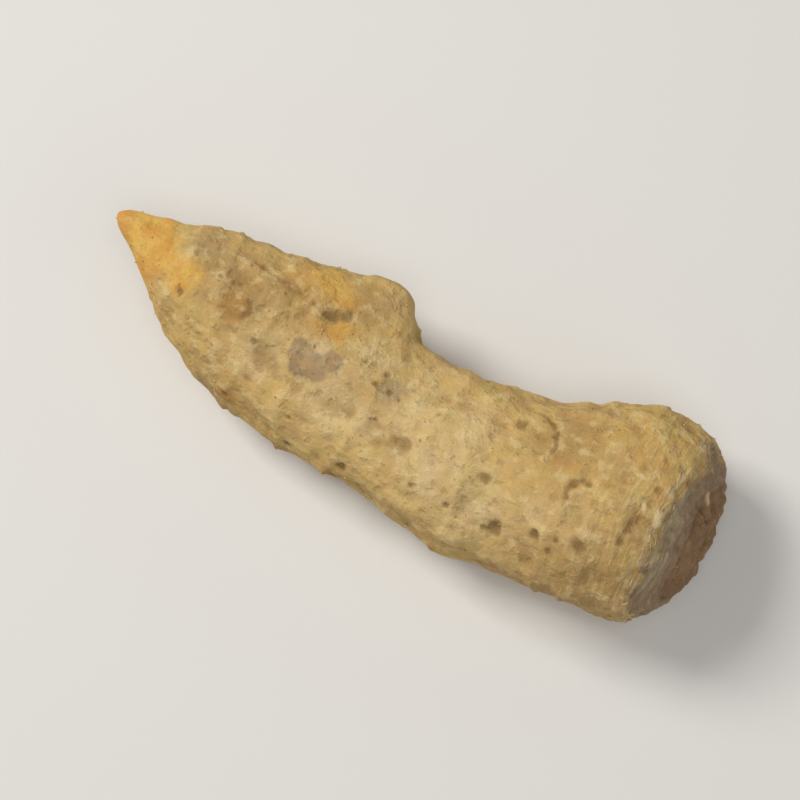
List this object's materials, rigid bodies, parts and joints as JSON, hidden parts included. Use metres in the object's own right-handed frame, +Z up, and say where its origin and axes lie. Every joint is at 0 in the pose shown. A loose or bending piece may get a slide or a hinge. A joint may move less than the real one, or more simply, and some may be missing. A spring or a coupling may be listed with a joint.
{
  "type": "dried turmeric root",
  "caption": "Dried turmeric root, one finger of the rhizome with a conical tip, a side knob, faint growth rings and a broken blunt end, lying on its side.",
  "frame": {"origin": "on the surface that the root rests on, below the middle of its bounding box", "axes": "+X runs along the root from its conical tip to its broken end, +Y is the side with the knob, +Z is up"},
  "size_m": [0.05, 0.0172, 0.0137],
  "materials": {
    "turmeric_skin": "matt dusty yellow-brown skin"
  },
  "bodies": {
    "root": {"turmeric_root": "turmeric_skin"}
  },
  "joints": []
}
